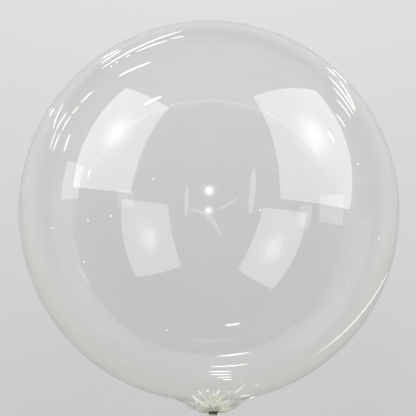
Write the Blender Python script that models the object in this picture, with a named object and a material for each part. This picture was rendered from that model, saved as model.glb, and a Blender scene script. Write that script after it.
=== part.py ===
"""Clear film bubble balloon, tied at the neck and lying on its side on a small flat spot.

Metres, +Z up. The origin is the middle of the flat spot. The balloon's own axis is level,
crown towards +Y and neck towards -Y.
"""
import math

import bmesh
import bpy
from mathutils import Vector

# Ball: a round outline from above, a little flat at the crown and a little long at the
# neck. Seen from the side, its top and bottom bulge towards the crown.
BALL_DIAMETER = 0.450
CROWN_REACH = 0.2185
NECK_REACH = 0.2268
CROWNWARD_BULGE = 0.0135
BULGE_FULL_AT = 0.2025
REST_SPOT_DIAMETER = 0.060
BALL_RINGS = 24
SHARP_EDGE_ANGLE = math.radians(50.0)

# Pleats, gathered round the shoulder, the waist and the start of the tail
PLEATS = 15
SIDES_PER_PLEAT = 6
PLEAT_DEPTH = 0.0022
PLEAT_SWAYS = ((2, 0.9, 0.7), (3, 0.6, 0.0))
PLEATS_FULL_FROM_EDGE = 0.0225
PLEATS_FADE_TO_WAIST = 0.0125

# Shoulder, where the film draws in from the ball to the tie
SHOULDER_RADIUS = 0.050
SHOULDER_REACH = 0.014
SHOULDER_HANDLE = 0.018
SHOULDER_RINGS = 10

# Waist, the bunched film inside the tie
WAIST_DIAMETER = 0.0074
WAIST_RIPPLE = 0.0003

# Tie, a cord wound side by side round the waist and knotted on top
CORD_DIAMETER = 0.0012
CORD_TURNS = 2
CORD_GAP = 0.0003
TIE_SIDE_ROOM = 0.0006
KNOT_LENGTH = 0.0046
KNOT_WIDTH = 0.0036
KNOT_HEIGHT = 0.0034
CORD_END_LENGTH = 0.0080
CORD_END_LEAN_AT_KNOT = math.radians(63.0)
CORD_END_LEAN_AT_TIP = math.radians(36.0)
KNOT_CLIMB_ANGLE = math.radians(40.0)
CORD_MEETS_KNOT_ANGLE = math.radians(8.0)
STEPS_PER_TURN = 20
CORD_END_STEPS = 6
CORD_BEVEL_STEPS = 2
KNOT_SEGMENTS = 12
KNOT_RINGS = 8

# Tail, the loose sleeve of film beyond the tie
TAIL_LENGTH = 0.052
TAIL_WIDTH = 0.056
TAIL_PUFF = 0.030
TAIL_END_THICKNESS = 0.009
TAIL_FLARE_LENGTH = 0.004
TAIL_FOLDS = 4
TAIL_FOLD_DEPTH = 0.0035
FOLDS_FULL_BY = 0.625
PUFF_GONE_BY = 0.8
CRIMP_GONE_BY = 0.5
TAIL_RINGS = 12
TAIL_RING_CROWDING = 1.7

# Colours and finishes
FILM_COLOUR = (0.90, 0.91, 0.87, 1.0)
FILM_ROUGHNESS = 0.05
CORD_COLOUR = (0.020, 0.035, 0.022, 1.0)
CORD_ROUGHNESS = 0.45

# Sizes worked out from those above
BALL_RADIUS = BALL_DIAMETER / 2
BALL_HEIGHT = math.sqrt(BALL_RADIUS ** 2 - (REST_SPOT_DIAMETER / 2) ** 2)
BALL_CENTRE = (0.0, -CROWNWARD_BULGE, BALL_HEIGHT)
SIDES = PLEATS * SIDES_PER_PLEAT
SHOULDER_ANGLE = math.asin(SHOULDER_RADIUS / BALL_RADIUS)
SHOULDER_START = -NECK_REACH * math.cos(SHOULDER_ANGLE)
WAIST_RADIUS = WAIST_DIAMETER / 2
CORD_RADIUS = CORD_DIAMETER / 2
CORD_PITCH = CORD_DIAMETER + CORD_GAP
TIE_RADIUS = WAIST_RADIUS + CORD_GAP + CORD_RADIUS
TIE_WIDTH = CORD_TURNS * CORD_PITCH + CORD_DIAMETER
TIE_PLACE = -(NECK_REACH + SHOULDER_REACH)
WAIST_START = TIE_PLACE + TIE_WIDTH / 2 + TIE_SIDE_ROOM
WAIST_END = TIE_PLACE - TIE_WIDTH / 2 - TIE_SIDE_ROOM
MERGE_GAP = CORD_RADIUS / 100


def make_material(name, colour, roughness):
    """One plain material with the piece's own colour and finish."""
    material = bpy.data.materials.new(name)
    material.use_nodes = True
    shader = material.node_tree.nodes["Principled BSDF"]
    shader.inputs["Base Color"].default_value = colour
    shader.inputs["Roughness"].default_value = roughness
    shader.inputs["Metallic"].default_value = 0.0
    return material


def add_object(name, mesh, material):
    """Show a mesh made about the ball's centre as one object, smooth but for sharp edges."""
    mesh.materials.clear()
    mesh.materials.append(material)
    mesh.shade_smooth()
    mesh.set_sharp_from_angle(angle=SHARP_EDGE_ANGLE)
    piece = bpy.data.objects.new(name, mesh)
    piece.location = BALL_CENTRE
    bpy.context.collection.objects.link(piece)
    return piece


def ease(value):
    """Go smoothly from 0 to 1 as value does."""
    value = min(max(value, 0.0), 1.0)
    return value * value * (3.0 - 2.0 * value)


def shoulder_curve(t):
    """Distance from the axis and place along it, from the ball at 0 to the waist at 1."""
    start = Vector((SHOULDER_RADIUS, SHOULDER_START))
    end = Vector((WAIST_RADIUS, WAIST_START))
    leaves_ball = Vector((-BALL_RADIUS * math.cos(SHOULDER_ANGLE),
                          -NECK_REACH * math.sin(SHOULDER_ANGLE))).normalized()
    first = start + leaves_ball * SHOULDER_HANDLE
    second = Vector(((SHOULDER_RADIUS + WAIST_RADIUS) / 2, WAIST_START))
    s = 1.0 - t
    return start * s ** 3 + first * 3 * s * s * t + second * 3 * s * t * t + end * t ** 3


def film_profile():
    """Half outline of the film from crown to cut end, as (from axis, along axis) pairs."""
    profile = []
    for ring in range(BALL_RINGS):
        angle = (math.pi - SHOULDER_ANGLE) * ring / BALL_RINGS
        reach = CROWN_REACH if angle < math.pi / 2 else NECK_REACH
        profile.append((BALL_RADIUS * math.sin(angle), reach * math.cos(angle)))
    for ring in range(SHOULDER_RINGS + 1):
        profile.append(tuple(shoulder_curve(ring / SHOULDER_RINGS)))
    for ring in range(TAIL_RINGS + 1):
        share = (ring / TAIL_RINGS) ** TAIL_RING_CROWDING
        profile.append((WAIST_RADIUS, WAIST_END - TAIL_LENGTH * share))
    return profile


def pleat_wave(angle):
    """Height of the gathers round the axis, from -1 to 1, some wide and some narrow."""
    sway = sum(swing * math.sin(waves * angle + phase) for waves, swing, phase in PLEAT_SWAYS)
    return math.cos(PLEATS * angle + sway)


def bulge_to_crown(point):
    """Move the top and bottom of the ball towards the crown, and its sides not at all."""
    point.y += CROWNWARD_BULGE * ease(abs(point.z) / BULGE_FULL_AT)


def pleat_shoulder(point, radius, angle):
    """Raise the gathers along the axis, deepest between the ball and the waist."""
    rise = ease((SHOULDER_RADIUS - radius) / PLEATS_FULL_FROM_EDGE)
    fall = ease((radius - WAIST_RADIUS) / PLEATS_FADE_TO_WAIST)
    point.y += PLEAT_DEPTH * rise * fall * pleat_wave(angle)


def ripple_waist(point, angle):
    """Crimp the bunched film, no wider than the waist."""
    radius = WAIST_RADIUS - WAIST_RIPPLE * (1.0 - pleat_wave(angle)) / 2
    point.x = radius * math.cos(angle)
    point.z = radius * math.sin(angle)


def spread_tail(point, angle):
    """Open the film behind the tie into a folded fan, wide across and thin at its cut end."""
    run = WAIST_END - point.y
    share = run / TAIL_LENGTH
    opened = 1.0 - math.exp(-run / TAIL_FLARE_LENGTH)
    half_width = WAIST_RADIUS + (TAIL_WIDTH / 2 - WAIST_RADIUS) * opened
    puff = TAIL_PUFF + (TAIL_END_THICKNESS - TAIL_PUFF) * ease(share / PUFF_GONE_BY)
    half_thickness = WAIST_RADIUS + (puff / 2 - WAIST_RADIUS) * opened
    across = math.cos(angle)
    crimp_depth = PLEAT_DEPTH / (TAIL_PUFF / 2) * opened * (1.0 - ease(share / CRIMP_GONE_BY))
    crimp = 1.0 + crimp_depth * pleat_wave(angle)
    fold = TAIL_FOLD_DEPTH * ease(share / FOLDS_FULL_BY) * math.sin(math.pi * TAIL_FOLDS * across)
    point.x = half_width * across * crimp
    point.z = half_thickness * math.sin(angle) * crimp + fold


def shape_film(film):
    """Move the turned film's points into the bulge, pleats, ripples and folds."""
    for vert in film.verts:
        radius = math.hypot(vert.co.x, vert.co.z)
        angle = math.atan2(vert.co.z, vert.co.x)
        if vert.co.y > WAIST_START + MERGE_GAP:
            if vert.co.y < SHOULDER_START:
                pleat_shoulder(vert.co, radius, angle)
            bulge_to_crown(vert.co)
        elif vert.co.y > WAIST_END - MERGE_GAP:
            ripple_waist(vert.co, angle)
        else:
            spread_tail(vert.co, angle)


def make_film_balloon(material):
    """The one bag of film: ball, pleated shoulder, waist and tail, flat where it rests."""
    film = bmesh.new()
    verts = [film.verts.new((radius, along, 0.0)) for radius, along in film_profile()]
    edges = [film.edges.new(pair) for pair in zip(verts, verts[1:])]
    bmesh.ops.spin(film, geom=verts + edges, axis=(0.0, 1.0, 0.0), cent=(0.0, 0.0, 0.0),
                   angle=2 * math.pi, steps=SIDES, use_merge=True)
    bmesh.ops.remove_doubles(film, verts=film.verts[:], dist=MERGE_GAP)
    shape_film(film)

    end_edges = [edge for edge in film.edges if edge.is_boundary]
    bmesh.ops.contextual_create(film, geom=end_edges)

    everything = film.verts[:] + film.edges[:] + film.faces[:]
    bmesh.ops.bisect_plane(film, geom=everything, dist=MERGE_GAP,
                           plane_co=(0.0, 0.0, -BALL_HEIGHT), plane_no=(0.0, 0.0, -1.0),
                           clear_outer=True)
    spot_edges = [edge for edge in film.edges if edge.is_boundary]
    bmesh.ops.contextual_create(film, geom=spot_edges)
    bmesh.ops.recalc_face_normals(film, faces=film.faces[:])

    mesh = bpy.data.meshes.new("film_balloon")
    film.to_mesh(mesh)
    film.free()
    return add_object("film_balloon", mesh, material)


def cord_mesh(name, points):
    """Round cord along the points, closed at both ends."""
    curve = bpy.data.curves.new(name, "CURVE")
    curve.dimensions = "3D"
    curve.bevel_depth = CORD_RADIUS
    curve.bevel_resolution = CORD_BEVEL_STEPS
    curve.use_fill_caps = True
    spline = curve.splines.new("POLY")
    spline.points.add(len(points) - 1)
    for slot, point in zip(spline.points, points):
        slot.co = (*point, 1.0)
    guide = bpy.data.objects.new(name, curve)
    bpy.context.collection.objects.link(guide)
    bpy.context.view_layer.update()
    mesh = bpy.data.meshes.new_from_object(guide)
    bpy.data.objects.remove(guide, do_unlink=True)

    cord = bmesh.new()
    cord.from_mesh(mesh)
    bmesh.ops.remove_doubles(cord, verts=cord.verts[:], dist=MERGE_GAP)
    bmesh.ops.recalc_face_normals(cord, faces=cord.faces[:])
    cord.to_mesh(mesh)
    cord.free()
    return mesh


def winding_points():
    """Route of the cord round the waist, climbing into the knot at both ends."""
    steps = STEPS_PER_TURN * CORD_TURNS
    knot_rise = CORD_DIAMETER + CORD_GAP
    whole_angle = 2 * math.pi * CORD_TURNS - 2 * CORD_MEETS_KNOT_ANGLE
    points = []
    for step in range(steps + 1):
        turned = CORD_MEETS_KNOT_ANGLE + whole_angle * step / steps
        to_end = min(turned, 2 * math.pi * CORD_TURNS - turned)
        lift = 1.0 - ease((to_end - CORD_MEETS_KNOT_ANGLE) / KNOT_CLIMB_ANGLE)
        radius = TIE_RADIUS + knot_rise * lift
        along = CORD_PITCH * (CORD_TURNS / 2 - turned / (2 * math.pi)) * (1.0 - lift)
        angle = math.pi / 2 + turned
        points.append((radius * math.cos(angle), TIE_PLACE + along, radius * math.sin(angle)))
    return points


def end_points(side, knot_height):
    """Route of one cut cord end, leaning out of the knot to that side."""
    points = []
    for step in range(CORD_END_STEPS + 1):
        share = step / CORD_END_STEPS
        lean = CORD_END_LEAN_AT_KNOT + (CORD_END_LEAN_AT_TIP - CORD_END_LEAN_AT_KNOT) * share
        reach = CORD_END_LENGTH * share
        points.append((side * reach * math.sin(lean), TIE_PLACE + side * CORD_RADIUS * share,
                       knot_height + reach * math.cos(lean)))
    return points


def join_to(piece, name, mesh):
    """Fuse another closed mesh to the piece, as one solid."""
    cutter = bpy.data.objects.new(name, mesh)
    cutter.location = piece.location
    cutter.hide_render = True
    cutter.display_type = "WIRE"
    bpy.context.collection.objects.link(cutter)
    union = piece.modifiers.new(name, "BOOLEAN")
    union.operation = "UNION"
    union.solver = "EXACT"
    union.object = cutter


def make_neck_tie(material):
    """The cord wound round the waist, with its knot and two cut ends."""
    knot_height = TIE_RADIUS + CORD_DIAMETER + CORD_GAP
    tie = add_object("neck_tie", cord_mesh("winding", winding_points()), material)

    knot = bmesh.new()
    bmesh.ops.create_uvsphere(knot, u_segments=KNOT_SEGMENTS, v_segments=KNOT_RINGS, radius=0.5)
    bmesh.ops.scale(knot, verts=knot.verts[:], vec=(KNOT_LENGTH, KNOT_WIDTH, KNOT_HEIGHT))
    bmesh.ops.translate(knot, verts=knot.verts[:], vec=(0.0, TIE_PLACE, knot_height))
    knot_mesh = bpy.data.meshes.new("knot")
    knot.to_mesh(knot_mesh)
    knot.free()

    join_to(tie, "knot", knot_mesh)
    join_to(tie, "left_end", cord_mesh("left_end", end_points(-1, knot_height)))
    join_to(tie, "right_end", cord_mesh("right_end", end_points(1, knot_height)))
    return tie


for leftover in list(bpy.data.objects):
    bpy.data.objects.remove(leftover, do_unlink=True)

make_film_balloon(make_material("clear_film", FILM_COLOUR, FILM_ROUGHNESS))
make_neck_tie(make_material("dark_cord", CORD_COLOUR, CORD_ROUGHNESS))
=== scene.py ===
"""A clear film bubble balloon with a tied neck, lying on its side on a pale floor."""
import math

import bmesh
import bpy
from mathutils import Matrix, Vector
from mathutils.bvhtree import BVHTree


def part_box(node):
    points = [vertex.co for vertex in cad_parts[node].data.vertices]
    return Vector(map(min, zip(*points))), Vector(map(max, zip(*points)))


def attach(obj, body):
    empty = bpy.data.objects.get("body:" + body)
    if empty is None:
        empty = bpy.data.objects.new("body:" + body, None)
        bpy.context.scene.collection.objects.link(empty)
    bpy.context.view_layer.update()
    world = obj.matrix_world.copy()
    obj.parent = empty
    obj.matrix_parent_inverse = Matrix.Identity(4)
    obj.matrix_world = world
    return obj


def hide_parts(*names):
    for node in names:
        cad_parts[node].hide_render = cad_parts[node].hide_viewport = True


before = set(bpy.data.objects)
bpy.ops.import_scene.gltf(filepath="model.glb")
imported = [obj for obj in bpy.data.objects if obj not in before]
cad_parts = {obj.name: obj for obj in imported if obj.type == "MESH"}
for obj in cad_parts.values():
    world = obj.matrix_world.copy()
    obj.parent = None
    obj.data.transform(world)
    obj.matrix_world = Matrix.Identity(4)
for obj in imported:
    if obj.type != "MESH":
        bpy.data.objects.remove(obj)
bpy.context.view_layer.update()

# Film bag
# One seamless bag of thin clear film, blown up tight, its top and bottom bulging towards the
# crown. It draws in at a pleated shoulder, is bunched in the tie and ends in a cut sleeve.
film_low, film_high = (Vector(corner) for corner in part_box("film_balloon"))
BALL_RADIUS = 0.225
BALL_HEIGHT = 0.223
CROWN_REACH = 0.2185
NECK_REACH = 0.2268
CROWNWARD_BULGE = 0.0135
BULGE_FULL_AT = 0.2025
BALL_CENTRE = Vector((0.0, film_high.y - CROWN_REACH, BALL_HEIGHT))
FILM_WALL = 0.00015
MERGE_GAP = FILM_WALL / 100
BALL_RINGS = 112
SIDES = 270
FLOOR_GAP = 0.0002

SHOULDER_RADIUS = 0.050
SHOULDER_REACH = 0.014
SHOULDER_HANDLE = 0.018
SHOULDER_RINGS = 32
TIE_PLACE = -(NECK_REACH + SHOULDER_REACH)
WAIST_RADIUS = 0.0037
WAIST_HALF = 0.0027
WAIST_RIPPLE = 0.0003
WAIST_MARGIN = WAIST_RIPPLE / 10
PLEATS = 15
PLEAT_SWAYS = ((2, 0.9, 0.7), (3, 0.6, 0.0))
PLEAT_DEPTH = 0.0022
PLEATS_FULL_FROM_EDGE = 0.0225
PLEATS_FADE_TO_WAIST = 0.0125
GATHERS = 42
GATHER_DEPTH = 0.0011
GATHERS_FROM = 0.034
GATHERS_FULL_IN = 0.020
GATHERS_FADE_TO_WAIST = 0.0025

TAIL_END = film_low.y - BALL_CENTRE.y
TAIL_WIDTH = 0.056
TAIL_PUFF = 0.030
TAIL_END_THICKNESS = 0.009
TAIL_FLARE_LENGTH = 0.004
TAIL_FOLDS = 4
TAIL_FOLD_DEPTH = 0.0035
PUFF_GONE_BY = 0.8
CRIMP_GONE_BY = 0.5
FOLDS_FULL_BY = 0.625
TAIL_RINGS = 26
TAIL_RING_CROWDING = 1.7

SHOULDER_ANGLE = math.asin(SHOULDER_RADIUS / BALL_RADIUS)
SHOULDER_START = -NECK_REACH * math.cos(SHOULDER_ANGLE)
WAIST_START = TIE_PLACE + WAIST_HALF
WAIST_END = TIE_PLACE - WAIST_HALF


def ease(value):
    """Go smoothly from 0 to 1 as value does."""
    value = min(max(value, 0.0), 1.0)
    return value * value * (3.0 - 2.0 * value)


def shoulder_curve(t):
    """Distance from the axis and place along it, from the ball at 0 to the waist at 1."""
    start = Vector((SHOULDER_RADIUS, SHOULDER_START))
    end = Vector((WAIST_RADIUS, WAIST_START))
    leaves_ball = Vector((-BALL_RADIUS * math.cos(SHOULDER_ANGLE),
                          -NECK_REACH * math.sin(SHOULDER_ANGLE))).normalized()
    first = start + leaves_ball * SHOULDER_HANDLE
    second = Vector(((SHOULDER_RADIUS + WAIST_RADIUS) / 2, WAIST_START))
    s = 1.0 - t
    return start * s ** 3 + first * 3 * s * s * t + second * 3 * s * t * t + end * t ** 3


def film_profile():
    """Half outline of the film from crown to cut end."""
    profile = []
    for ring in range(BALL_RINGS):
        angle = (math.pi - SHOULDER_ANGLE) * ring / BALL_RINGS
        reach = CROWN_REACH if angle < math.pi / 2 else NECK_REACH
        profile.append((BALL_RADIUS * math.sin(angle), reach * math.cos(angle)))
    for ring in range(SHOULDER_RINGS + 1):
        profile.append(tuple(shoulder_curve(ring / SHOULDER_RINGS)))
    for ring in range(TAIL_RINGS + 1):
        share = (ring / TAIL_RINGS) ** TAIL_RING_CROWDING
        profile.append((WAIST_RADIUS, WAIST_END + (TAIL_END - WAIST_END) * share))
    return profile


def pleat_wave(angle, pleats=PLEATS):
    """Height of the gathers round the axis, from -1 to 1, some wide and some narrow."""
    sway = sum(size * math.sin(turns * angle + shift) for turns, size, shift in PLEAT_SWAYS)
    return math.cos(pleats * angle + sway * pleats / PLEATS)


def shape_shoulder(point, radius, angle):
    """Raise the wide pleats and, nearer the tie, the fine gathers."""
    rise = ease((SHOULDER_RADIUS - radius) / PLEATS_FULL_FROM_EDGE)
    fall = ease((radius - WAIST_RADIUS) / PLEATS_FADE_TO_WAIST)
    point.y += PLEAT_DEPTH * rise * fall * pleat_wave(angle)
    rise = ease((GATHERS_FROM - radius) / GATHERS_FULL_IN)
    fall = ease((radius - WAIST_RADIUS) / GATHERS_FADE_TO_WAIST)
    stretch = 1.0 + GATHER_DEPTH * rise * fall * pleat_wave(angle, GATHERS) / radius
    point.x *= stretch
    point.z *= stretch
    point.y += GATHER_DEPTH * rise * fall * pleat_wave(angle, GATHERS)


def shape_waist(point, angle):
    """Ripple the round bunch of film under the cord."""
    radius = WAIST_RADIUS - WAIST_RIPPLE * (1.0 - pleat_wave(angle)) / 2
    point.x = radius * math.cos(angle)
    point.z = radius * math.sin(angle)


def shape_tail(point, angle):
    """Flatten, crimp and fold the sleeve of film beyond the tie."""
    run = WAIST_END - point.y
    share = run / (WAIST_END - TAIL_END)
    opened = 1.0 - math.exp(-run / TAIL_FLARE_LENGTH)
    half_width = WAIST_RADIUS + (TAIL_WIDTH / 2 - WAIST_RADIUS) * opened
    puff = TAIL_PUFF + (TAIL_END_THICKNESS - TAIL_PUFF) * ease(share / PUFF_GONE_BY)
    half_thickness = WAIST_RADIUS + (puff / 2 - WAIST_RADIUS) * opened
    across = math.cos(angle)
    fade = opened * (1.0 - ease(share / CRIMP_GONE_BY))
    crimp = 1.0 + pleat_wave(angle) * PLEAT_DEPTH / (TAIL_PUFF / 2) * fade
    fold = ease(share / FOLDS_FULL_BY) * math.sin(math.pi * TAIL_FOLDS * across)
    point.x = half_width * across * crimp
    point.z = half_thickness * math.sin(angle) * crimp + TAIL_FOLD_DEPTH * fold


def shape_point(point):
    """Place one point of the turned film in its bulge, pleat, ripple or fold."""
    radius = math.hypot(point.x, point.z)
    angle = math.atan2(point.z, point.x)
    if point.y > WAIST_START + WAIST_MARGIN:
        if point.y < SHOULDER_START:
            shape_shoulder(point, radius, angle)
        point.y += CROWNWARD_BULGE * ease(abs(point.z) / BULGE_FULL_AT)
    elif point.y > WAIST_END - WAIST_MARGIN:
        shape_waist(point, angle)
    else:
        shape_tail(point, angle)


def add_piece(name, mesh_data, replaced=None):
    """Show a finished bmesh as one smooth piece that rides on the balloon."""
    mesh = bpy.data.meshes.new(name)
    mesh_data.to_mesh(mesh)
    mesh_data.free()
    mesh.shade_smooth()
    piece = bpy.data.objects.new(name, mesh)
    bpy.context.collection.objects.link(piece)
    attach(piece, "root")
    if replaced:
        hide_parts(replaced)
    return piece


film = bmesh.new()
verts = [film.verts.new((radius, along, 0.0)) for radius, along in film_profile()]
edges = [film.edges.new(pair) for pair in zip(verts, verts[1:])]
bmesh.ops.spin(film, geom=verts + edges, axis=(0.0, 1.0, 0.0), cent=(0.0, 0.0, 0.0),
               angle=2 * math.pi, steps=SIDES, use_merge=True)
bmesh.ops.remove_doubles(film, verts=film.verts[:], dist=MERGE_GAP)
for vert in film.verts:
    shape_point(vert.co)
    vert.co += BALL_CENTRE
    vert.co.z = max(vert.co.z, FLOOR_GAP)
bmesh.ops.recalc_face_normals(film, faces=film.faces[:])
film_skin = BVHTree.FromBMesh(film)
bmesh.ops.solidify(film, geom=film.faces[:], thickness=FILM_WALL)
film_bag = add_piece("film_bag", film, "film_balloon")


class Finish:
    """The nodes of one material, lamp or world, with a way to add any node."""

    def __init__(self, name, owner=None, output="ShaderNodeOutputMaterial"):
        self.owner = owner or bpy.data.materials.new(name)
        self.owner.use_nodes = True
        self.tree = self.owner.node_tree
        self.tree.nodes.clear()
        self.output = self.tree.nodes.new(output)

    def node(self, kind, settings=None, **sockets):
        """Add a node and set it, then fill its sockets, given by name or as _number."""
        made = self.tree.nodes.new(kind)
        for name, value in (settings or {}).items():
            setattr(made, name, value)
        for name, value in sockets.items():
            key = int(name[1:]) if name[0] == "_" else name.replace("_", " ")
            socket = made.inputs[key]
            if isinstance(value, Term):
                self.tree.links.new(value.socket, socket)
            elif isinstance(value, bpy.types.NodeSocket):
                self.tree.links.new(value, socket)
            else:
                socket.default_value = value
        return made

    def term(self, kind, settings=None, output=0, **sockets):
        """The same, giving one output back for sums."""
        return Term(self, self.node(kind, settings, **sockets).outputs[output])

    def surface(self, shader):
        """Close the tree with this shader and give its owner back."""
        self.tree.links.new(shader.outputs[0], self.output.inputs["Surface"])
        return self.owner


class Term:
    """One output of a node, which adds Math nodes when it is used in a sum."""

    def __init__(self, finish, socket):
        self.finish = finish
        self.socket = socket

    def math(self, operation, first, second):
        """Add the Math node of one operator."""
        return self.finish.term("ShaderNodeMath", {"operation": operation}, _0=first, _1=second)

    def __add__(self, other):
        return self.math("ADD", self, other)

    __radd__ = __add__

    def __mul__(self, other):
        return self.math("MULTIPLY", self, other)

    __rmul__ = __mul__

    def __pow__(self, other):
        return self.math("POWER", self, other)

    def __rpow__(self, other):
        return self.math("POWER", other, self)


FILM_IOR = 1.5
CLEAR = (0.997, 0.997, 0.988, 1.0)
# Seen edge on, the film of the half towards the neck turns a darker olive: partly the film's own
# tint, partly painted shade for the dark rim on that side
RIM_SHADE_TINT = (0.72, 0.735, 0.61, 1.0)
RIM_SHADE_BLEND = 0.5
RIM_SHADE_FALL = 4.0
RIM_SHADE_FROM = 0.06
RIM_SHADE_FULL_AT = -0.14
# Next to the tie its layers lie close together and look clouded; the clouded film also glows
# faintly, painted light that lifts its shaded underside
GATHERED = (0.97, 0.98, 0.88, 1.0)
CLOUDED = (0.86, 0.88, 0.71, 1.0)
CLOUDED_SHARE = 0.62
CLOUDED_ROUGHNESS = 0.3
CLOUDED_PAINTED_GLOW = 0.13
GATHERED_FROM = 0.0275
GATHERED_FULL_AT = 0.007
# Light on its way to the floor passes straight through
LAMP_SHARE = (0.996, 0.996, 0.996, 1.0)

finish = Finish("clear_film")
here = finish.node("ShaderNodeTexCoord").outputs["Object"]
from_tie = finish.term("ShaderNodeVectorMath", {"operation": "DISTANCE"}, output=1, _0=here,
                       _1=BALL_CENTRE + Vector((0.0, TIE_PLACE, 0.0)))
bunched = finish.term("ShaderNodeMapRange", {"interpolation_type": "SMOOTHSTEP"},
                      Value=from_tie, From_Min=GATHERED_FROM, From_Max=GATHERED_FULL_AT)
turned_away = finish.term("ShaderNodeLayerWeight", output=1, Blend=RIM_SHADE_BLEND)
neckward = finish.term("ShaderNodeMapRange", {"interpolation_type": "SMOOTHSTEP"},
                       Value=finish.term("ShaderNodeSeparateXYZ", output=1, Vector=here),
                       From_Min=RIM_SHADE_FROM, From_Max=RIM_SHADE_FULL_AT)
# Painted shade: the film darkens to olive where it turns away from the camera, on the half
# towards the neck
rim_shade = turned_away ** RIM_SHADE_FALL * neckward
rim_shaded_tint = finish.node("ShaderNodeMix", {"data_type": "RGBA"}, _0=rim_shade, _6=CLEAR, _7=RIM_SHADE_TINT)
tint = finish.node("ShaderNodeMix", {"data_type": "RGBA"}, _0=bunched,
                   _6=rim_shaded_tint.outputs[2], _7=GATHERED)
clear = finish.node("ShaderNodeBsdfPrincipled", Base_Color=tint.outputs[2], Roughness=0.0,
                    IOR=FILM_IOR, Transmission_Weight=1.0)
# Its emission is painted light that brightens the shaded side of the bunch
clouded = finish.node("ShaderNodeBsdfPrincipled", Base_Color=CLOUDED,
                      Roughness=CLOUDED_ROUGHNESS, Emission_Color=CLOUDED,
                      Emission_Strength=CLOUDED_PAINTED_GLOW)
glass = finish.node("ShaderNodeMixShader", _0=bunched * CLOUDED_SHARE, _1=clear.outputs[0],
                    _2=clouded.outputs[0])
lamp_side = finish.node("ShaderNodeBsdfTransparent", Color=LAMP_SHARE)
path = finish.node("ShaderNodeLightPath")
scattered = finish.node("ShaderNodeMixShader", _0=path.outputs["Is Diffuse Ray"],
                        _1=glass.outputs[0], _2=lamp_side.outputs[0])
mixed = finish.node("ShaderNodeMixShader", _0=path.outputs["Is Shadow Ray"],
                    _1=scattered.outputs[0], _2=lamp_side.outputs[0])
film_bag.data.materials.append(finish.surface(mixed))

# Film creases with painted highlights
# Film that is blown up this tight keeps fine stretch creases, in bunches near the rim and round
# the tie. Each is a slender pointed ridge on the skin, where the photo has it, painted white or
# pale yellow and made to glow: a painted highlight or glint.
CAMERA_TILT = math.radians(15.0)
CAMERA_ROLL = math.radians(1.15)
CAMERA_DISTANCE = 8.0 * BALL_RADIUS
PHOTO_SIDE = 416
OUTLINE_PIXELS = 190.5
OUTLINE_CENTRE = Vector((209.0, 211.0))
level_right = Vector((1.0, 0.0, 0.0))
level_up = Vector((0.0, math.cos(CAMERA_TILT), math.sin(CAMERA_TILT)))
image_right = level_right * math.cos(CAMERA_ROLL) - level_up * math.sin(CAMERA_ROLL)
image_up = level_up * math.cos(CAMERA_ROLL) + level_right * math.sin(CAMERA_ROLL)
towards = Vector((0.0, -math.sin(CAMERA_TILT), math.cos(CAMERA_TILT)))
outline_tangent = BALL_RADIUS / math.sqrt(CAMERA_DISTANCE ** 2 - BALL_RADIUS ** 2)
pixels_per_tangent = OUTLINE_PIXELS / outline_tangent
eye = BALL_CENTRE + towards * CAMERA_DISTANCE

CREASE_RISE = 0.0007
CREASE_SIDES = 8
CREASE_RINGS = 18
PIXEL_SIZE = 0.00118
STEP_INWARDS = 0.998
# Each row is start, end, bow to the left of the way along and width, in photo pixels
UPPER_LEFT = (
    ((95.9, 62.7), (181.1, 22.4), 4.0, 2.0), ((96.3, 56.7), (116.9, 43.0), 0.3, 1.6),
    ((96.3, 52.0), (114.3, 42.1), 0.2, 1.0), ((131.4, 45.1), (166.6, 32.3), 0.8, 1.5),
    ((168.7, 31.0), (183.7, 28.3), 0.2, 1.3), ((111.5, 56.0), (113.8, 54.7), 0.0, 1.7),
    ((122.0, 50.0), (126.5, 47.6), 0.0, 1.4), ((105.5, 60.6), (108.0, 59.0), 0.0, 1.3))
FAR_LEFT = (
    ((45.7, 125.7), (56.6, 98.9), 1.2, 1.7), ((48.6, 126.9), (60.0, 108.0), 0.3, 1.8),
    ((42.2, 112.0), (47.0, 104.0), 0.4, 3.4), ((40.8, 107.0), (44.6, 102.6), 0.2, 2.2))
UPPER_RIGHT = (
    ((336.1, 54.9), (347.5, 65.1), 0.3, 2.0), ((342.0, 56.1), (359.3, 72.6), 0.7, 1.4),
    ((338.5, 64.4), (367.9, 103.6), 1.6, 1.9), ((350.6, 68.7), (368.3, 101.3), 0.8, 2.6),
    ((342.8, 75.7), (366.3, 106.8), 1.0, 1.5), ((346.7, 89.1), (362.8, 109.9), 0.8, 1.4),
    ((346.7, 105.6), (357.3, 120.1), 0.4, 1.5))
INSIDE_OUTLINE = (
    ((118.6, 76.0), (151.1, 61.9), 0.4, 2.6), ((143.9, 105.1), (161.4, 96.6), 0.2, 2.8),
    ((53.1, 151.4), (60.6, 133.1), 0.5, 1.6), ((61.8, 131.4), (70.9, 116.0), 0.4, 1.6),
    ((72.0, 114.3), (78.9, 106.9), 0.2, 1.5), ((80.6, 103.4), (93.1, 91.2), 0.2, 1.5),
    ((50.0, 149.7), (56.6, 130.0), 0.5, 0.7), ((64.0, 152.0), (70.3, 133.7), 0.4, 1.9),
    ((88.0, 177.7), (89.9, 169.7), 0.0, 2.4), ((328.2, 131.5), (334.1, 142.9), 0.2, 2.4))
ACROSS_BY_NECK = (
    ((225.0, 325.6), (240.4, 323.6), -0.3, 2.6), ((217.0, 356.4), (249.3, 352.5), -0.6, 2.0),
    ((210.0, 366.6), (248.6, 363.9), -0.9, 1.9), ((208.2, 371.6), (231.4, 371.3), -0.3, 1.9),
    ((209.3, 374.6), (231.8, 374.0), -0.3, 1.5), ((216.4, 377.4), (232.0, 376.8), -0.2, 1.3),
    ((222.0, 379.8), (232.0, 379.4), 0.0, 1.2))
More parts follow.
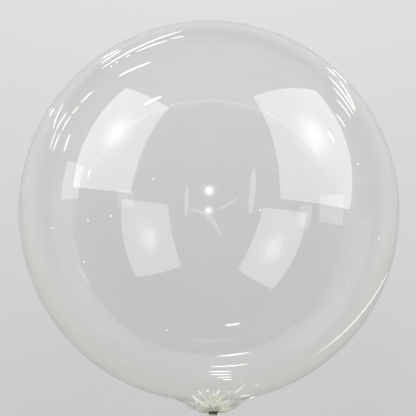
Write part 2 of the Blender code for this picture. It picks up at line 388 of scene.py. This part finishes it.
BY_TIE = (
    ((192.1, 394.6), (197.9, 403.1), 0.0, 1.5), ((198.6, 391.0), (202.1, 395.3), 0.0, 1.4),
    ((206.0, 390.4), (209.4, 391.6), 0.0, 2.6), ((220.0, 390.3), (216.6, 394.8), 0.0, 2.6),
    ((213.5, 393.0), (213.8, 396.0), 0.0, 1.4), ((229.6, 391.0), (227.7, 394.0), 0.0, 1.4),
    ((244.3, 384.6), (234.3, 393.1), 0.3, 1.6), ((256.0, 383.9), (258.2, 386.7), 0.0, 1.7),
    ((240.0, 382.6), (241.4, 382.2), 0.0, 1.8))
ON_RIM = (
    ((240.4, 398.5), (250.7, 397.0), 0.3, 1.7), ((250.0, 402.4), (252.9, 400.0), 0.0, 1.4),
    ((252.6, 400.0), (255.4, 402.9), 0.0, 1.4), ((389.5, 273.0), (318.5, 354.5), 7.2, 1.3))
FAINT = (
    ((186.5, 217.0), (188.0, 186.0), 0.8, 4.0), ((250.0, 214.0), (254.0, 168.0), -0.5, 6.0),
    ((206.5, 212.0), (215.0, 227.0), -0.4, 2.6), ((210.0, 216.0), (222.0, 239.0), 0.5, 2.2),
    ((211.0, 208.0), (205.5, 222.0), 0.3, 3.0), ((213.0, 214.0), (218.5, 231.0), 0.2, 1.6),
    ((190.0, 208.5), (208.0, 215.5), 0.5, 2.2), ((217.0, 210.0), (240.0, 196.5), -1.0, 2.0),
    ((333.0, 295.5), (346.0, 283.5), 0.0, 4.6), ((345.5, 308.5), (358.0, 295.5), 0.3, 1.6),
    ((77.0, 262.0), (90.0, 285.0), -0.6, 5.0))
# The crease finishes are painted highlights: white, pale yellow by the tie, and faint
PAINTED_HIGHLIGHT, YELLOW_PAINTED_HIGHLIGHT, FAINT_PAINTED_HIGHLIGHT = range(3)
# Each row is the creases, their finish, and how far from the centre they are put, as a share
# of their distance in the photo: the real outline is a little less round than the film here
CREASE_GROUPS = (
    (UPPER_LEFT, PAINTED_HIGHLIGHT, 0.955), (FAR_LEFT, PAINTED_HIGHLIGHT, 0.955), (UPPER_RIGHT, PAINTED_HIGHLIGHT, 0.92),
    (INSIDE_OUTLINE, PAINTED_HIGHLIGHT, 1.0), (ACROSS_BY_NECK, PAINTED_HIGHLIGHT, 1.0), (BY_TIE, PAINTED_HIGHLIGHT, 1.0),
    (ON_RIM, PAINTED_HIGHLIGHT, 0.99), (FAINT, FAINT_PAINTED_HIGHLIGHT, 1.0))
# Small specks in the white finish are painted glints
SPECKS = ((52.0, 228.0), (88.0, 221.0), (111.0, 216.0), (153.0, 179.0), (260.0, 210.0),
          (358.0, 164.0), (379.0, 239.0), (84.0, 262.0), (167.0, 330.0))
SPECK_LENGTH = 1.6


def on_film(pixel):
    """Point and outward direction of the film at this photo pixel, or the next one inwards."""
    offset = (pixel - OUTLINE_CENTRE) / pixels_per_tangent
    point = None
    while point is None:
        sight = (image_right * offset.x - image_up * offset.y - towards).normalized()
        point, normal, _, _ = film_skin.ray_cast(eye, sight)
        offset *= STEP_INWARDS
    return point, normal if normal.dot(sight) < 0.0 else -normal


def drawn_in(pixel, share):
    """A photo pixel moved to this share of its distance from the outline's centre."""
    return OUTLINE_CENTRE + (Vector(pixel) - OUTLINE_CENTRE) * share


def add_crease(mesh_data, start, end, bow, width, finish_number):
    """Lay one slender ridge, pointed at both ends, on the film between two photo pixels."""
    along = end - start
    sideways = Vector((along.y, -along.x)).normalized()
    heading = image_right * along.x - image_up * along.y
    ridge = bmesh.ops.create_uvsphere(mesh_data, u_segments=CREASE_SIDES,
                                      v_segments=CREASE_RINGS, radius=1.0)["verts"]
    for vert in ridge:
        share = (vert.co.z + 1.0) / 2
        # The bow is a parabola that is full halfway along
        bowed_out = sideways * bow * 4 * share * (1.0 - share)
        point, normal = on_film(start + along * share + bowed_out)
        ahead = (heading - normal * heading.dot(normal)).normalized()
        across = ahead.cross(normal)
        vert.co = (point + across * vert.co.x * width * PIXEL_SIZE / 2
                   + normal * max(vert.co.y, 0.0) * CREASE_RISE)
    for face in {face for vert in ridge for face in vert.link_faces}:
        face.material_index = finish_number


FAN_FOOT = Vector((213.0, 409.0))
FAN_CREASES = 21
FAN_SPREAD = math.radians(66.0)
FAN_START = 3.0
FAN_REACH = 14.5
FAN_UNEVEN = 6.0
FAN_BOW = 0.3
FAN_WIDTH = 1.15
FAN_WIDTH_UNEVEN = 0.4
# From one crease to the next, start, reach and width move on by these angles of a sine
START_STEP = 2.3
REACH_STEP = 1.7
WIDTH_STEP = 1.3


def fan_crease(number):
    """Start, end, bow and width of one of the crowded creases that run out of the tie."""
    angle = FAN_SPREAD * (2.0 * number / (FAN_CREASES - 1) - 1.0)
    way = Vector((math.sin(angle), -math.cos(angle)))
    start = FAN_START + abs(math.sin(number * START_STEP)) * FAN_UNEVEN
    reach = FAN_REACH + math.sin(number * REACH_STEP) * FAN_UNEVEN
    width = FAN_WIDTH + FAN_WIDTH_UNEVEN * math.sin(number * WIDTH_STEP)
    return FAN_FOOT + way * start, FAN_FOOT + way * reach, FAN_BOW, width


creases = bmesh.new()
for rows, finish_number, share in CREASE_GROUPS:
    for start, end, bow, width in rows:
        add_crease(creases, drawn_in(start, share), drawn_in(end, share), bow, width,
                   finish_number)
for centre in SPECKS:
    half = Vector((SPECK_LENGTH / 2, 0.0))
    add_crease(creases, Vector(centre) - half, Vector(centre) + half, 0.0, SPECK_LENGTH, PAINTED_HIGHLIGHT)
for number in range(FAN_CREASES):
    add_crease(creases, *fan_crease(number), YELLOW_PAINTED_HIGHLIGHT)
bmesh.ops.recalc_face_normals(creases, faces=creases.faces[:])
painted_highlight_creases = add_piece("painted_highlight_creases", creases)
# Each row is name, colour, glow and alpha, in the order of the finish numbers; colour and glow
# make a painted highlight
CREASE_HIGHLIGHT_FINISHES = (("painted_highlight_film", (0.97, 0.97, 0.95, 1.0), 0.55, 1.0),
                   ("yellow_painted_highlight_film", (0.93, 0.95, 0.77, 1.0), 0.30, 1.0),
                   ("faint_painted_highlight_film", (0.97, 0.97, 0.95, 1.0), 0.60, 0.07))
CREASE_ROUGHNESS = 0.25
for name, colour, glow, alpha in CREASE_HIGHLIGHT_FINISHES:
    crease_finish = Finish(name)
    painted_highlight_creases.data.materials.append(crease_finish.surface(crease_finish.node(
        "ShaderNodeBsdfPrincipled", Base_Color=colour, Roughness=CREASE_ROUGHNESS, Alpha=alpha,
        Emission_Color=colour, Emission_Strength=glow)))

# Neck tie
# A thin dark green twisted cord, wound twice round the bunched neck and knotted, with its
# two ends cut short. Its form is the imported part's own, and here it gets its strands.
# The lighter strands are partly the cord's own twist and partly painted glints
CORD_DARK = (0.004, 0.008, 0.005, 1.0)
CORD_LIGHT_STRAND_AND_GLINT = (0.030, 0.080, 0.050, 1.0)
CORD_ROUGHNESS = 0.42
STRANDS_PER_METRE = 450.0
# A wave texture of scale 1 has this many bands in each metre
BANDS_AT_SCALE_ONE = 10.0 / math.pi
STRAND_TURN = (0.5, 0.9, 0.7)
STRAND_UNEVEN = 1.5
STRAND_DETAIL = 2.0
STRAND_RELIEF = 0.0002
RELIEF_STRENGTH = 0.6
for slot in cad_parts["neck_tie"].material_slots:
    cord_finish = Finish("dark_cord")
    on_cord = cord_finish.node("ShaderNodeTexCoord").outputs["Object"]
    turned = cord_finish.node("ShaderNodeMapping", Vector=on_cord, Rotation=STRAND_TURN)
    strands = cord_finish.term("ShaderNodeTexWave", {"wave_type": "BANDS"}, output=1,
                               Vector=turned.outputs[0],
                               Scale=STRANDS_PER_METRE / BANDS_AT_SCALE_ONE,
                               Distortion=STRAND_UNEVEN, Detail=STRAND_DETAIL)
    shade = cord_finish.node("ShaderNodeMix", {"data_type": "RGBA"}, _0=strands,
                             _6=CORD_DARK, _7=CORD_LIGHT_STRAND_AND_GLINT)
    bump = cord_finish.node("ShaderNodeBump", Height=strands, Strength=RELIEF_STRENGTH,
                            Distance=STRAND_RELIEF)
    slot.material = cord_finish.surface(cord_finish.node(
        "ShaderNodeBsdfPrincipled", Base_Color=shade.outputs[2], Normal=bump.outputs[0],
        Roughness=CORD_ROUGHNESS))

# Floor, lamps and camera
# A plain pale floor under a pool of light and a wide soft ceiling lamp, in a dim room that is
# brighter low down. Two square lamps, two small cards and a round bulb mirror in the film.
SENSOR_WIDTH = 36.0
CLIP_START = 0.01
camera = bpy.data.cameras.new("camera")
camera.sensor_width = SENSOR_WIDTH
camera.lens = SENSOR_WIDTH * pixels_per_tangent / PHOTO_SIDE
camera.shift_x = (PHOTO_SIDE / 2 - OUTLINE_CENTRE.x) / PHOTO_SIDE
camera.shift_y = (OUTLINE_CENTRE.y - PHOTO_SIDE / 2) / PHOTO_SIDE
camera.clip_start = CLIP_START
camera_object = bpy.data.objects.new("camera", camera)
camera_object.matrix_world = (Matrix.Translation(eye)
                              @ Matrix((image_right, image_up, towards)).transposed().to_4x4())
bpy.context.collection.objects.link(camera_object)
bpy.context.scene.camera = camera_object


def place(right, up, near):
    """A point given from the ball's centre, in ball radii along the picture's own axes."""
    return BALL_CENTRE + BALL_RADIUS * (image_right * right + image_up * up + towards * near)


def aim_lamp(lamp, centre, turn, lift, roll):
    """Put a lamp at a place and turn it, in degrees from the picture's own axes."""
    turn, lift, roll = (math.radians(angle) for angle in (turn, lift, roll))
    facing = (image_right * math.sin(turn) * math.cos(lift) + image_up * math.sin(lift)
              + towards * math.cos(turn) * math.cos(lift))
    across = image_up.cross(facing).normalized()
    upward = facing.cross(across)
    side = across * math.cos(roll) + upward * math.sin(roll)
    top = upward * math.cos(roll) - across * math.sin(roll)
    lamp_object = bpy.data.objects.new(lamp.name, lamp)
    lamp_object.matrix_world = (Matrix.Translation(place(*centre))
                                @ Matrix((-side, top, -facing)).transposed().to_4x4())
    lamp_object.visible_camera = False
    bpy.context.collection.objects.link(lamp_object)
    return lamp_object


CORE_FALL = -48.0
HALO_FALL = -14.0
HALO_SHARE = 0.15
PANEL_MIDDLE = (0.5, 0.5, 0.0)


def add_panel(name, centre, angles, size, radiance, hot):
    """A soft rectangular lamp facing the balloon, brighter round its bulb."""
    lamp = bpy.data.lights.new(name, "AREA")
    lamp.shape = "RECTANGLE"
    lamp.size, lamp.size_y = (side * BALL_RADIUS for side in size)
    lamp.energy = math.pi * lamp.size * lamp.size_y
    glow = Finish(name, lamp, "ShaderNodeOutputLight")
    on_panel = glow.node("ShaderNodeNewGeometry").outputs["Parametric"]
    spread = glow.term("ShaderNodeVectorMath", {"operation": "DISTANCE"}, output=1,
                       _0=on_panel, _1=PANEL_MIDDLE)
    core = math.e ** (spread * spread * CORE_FALL)
    halo = math.e ** (spread * spread * HALO_FALL)
    strength = core * hot + halo * (hot * HALO_SHARE) + radiance
    glow.surface(glow.node("ShaderNodeEmission", Strength=strength))
    aim_lamp(lamp, centre, *angles).visible_diffuse = False


# Each row is name, place, turn with lift and roll, size, glow of the whole and of the bulb
PANELS = (
    ("left_panel", (-2.50, 1.93, 1.78), (120.0, -18.0, 4.0), (2.30, 3.34), 2.05, 2.25),
    ("right_panel", (1.42, 0.93, 1.05), (-125.0, -19.0, 5.5), (1.46, 1.96), 1.85, 2.2),
    ("left_card", (-3.05, 0.50, 0.80), (75.0, -10.0, 0.0), (0.72, 0.80), 1.2, 0.0),
    ("right_card", (2.75, -0.12, 1.35), (-100.0, 5.0, 0.0), (0.80, 0.62), 1.0, 0.0),
    ("bulb", (0.02, 0.76, 8.0), (180.0, -8.0, 0.0), (1.75, 1.75), 0.0, 9.0))
for panel in PANELS:
    add_panel(*panel)

POOL_WATTS = 122.0
POOL_WIDTH = math.radians(44.0)
POOL_BLEND = 0.30
POOL_SOFTNESS = 0.30
POOL_AIM = (180.3, -46.9, 0.0)
CEILING_STRENGTH = 0.75
CEILING_WIDTH = math.radians(70.0)
CEILING_AIM = (180.0, -30.0, 0.0)
OVERHEAD = (0.0, 7.04, 6.29)
pool = bpy.data.lights.new("pool", "SPOT")
pool.energy = POOL_WATTS
pool.spot_size = POOL_WIDTH
pool.spot_blend = POOL_BLEND
pool.shadow_soft_size = POOL_SOFTNESS
ceiling = bpy.data.lights.new("ceiling", "SUN")
ceiling.energy = CEILING_STRENGTH
ceiling.angle = CEILING_WIDTH
for lamp, angles in ((pool, POOL_AIM), (ceiling, CEILING_AIM)):
    lamp_object = aim_lamp(lamp, OVERHEAD, *angles)
    lamp_object.visible_glossy = False
    lamp_object.visible_transmission = False

ROOM_DIM = 0.12
ROOM_LOW = 0.20
ROOM_LOW_HEIGHT = 0.20
world = bpy.data.worlds.new("studio")
room = Finish("studio", world, "ShaderNodeOutputWorld")
height = room.term("ShaderNodeSeparateXYZ", output=2,
                   Vector=room.node("ShaderNodeTexCoord").outputs["Generated"])
low_down = math.e ** (height * height * (-1.0 / ROOM_LOW_HEIGHT ** 2))
room.surface(room.node("ShaderNodeBackground", Strength=low_down * ROOM_LOW + ROOM_DIM))
bpy.context.scene.world = world
bpy.context.scene.view_settings.view_transform = "Standard"

FLOOR_HALF = 12.0
FLOOR_DROP = 0.0003
FLOOR_COLOUR = (0.8, 0.8, 0.8, 1.0)
FLOOR_ROUGHNESS = 0.8
floor = bmesh.new()
bmesh.ops.create_grid(floor, x_segments=1, y_segments=1, size=FLOOR_HALF)
floor_mesh = bpy.data.meshes.new("floor")
floor.to_mesh(floor_mesh)
floor.free()
floor_object = bpy.data.objects.new("floor", floor_mesh)
floor_object.location.z = -FLOOR_DROP
bpy.context.collection.objects.link(floor_object)
floor_finish = Finish("floor")
floor_mesh.materials.append(floor_finish.surface(floor_finish.node(
    "ShaderNodeBsdfPrincipled", Base_Color=FLOOR_COLOUR, Roughness=FLOOR_ROUGHNESS,
    Specular_IOR_Level=0.0)))
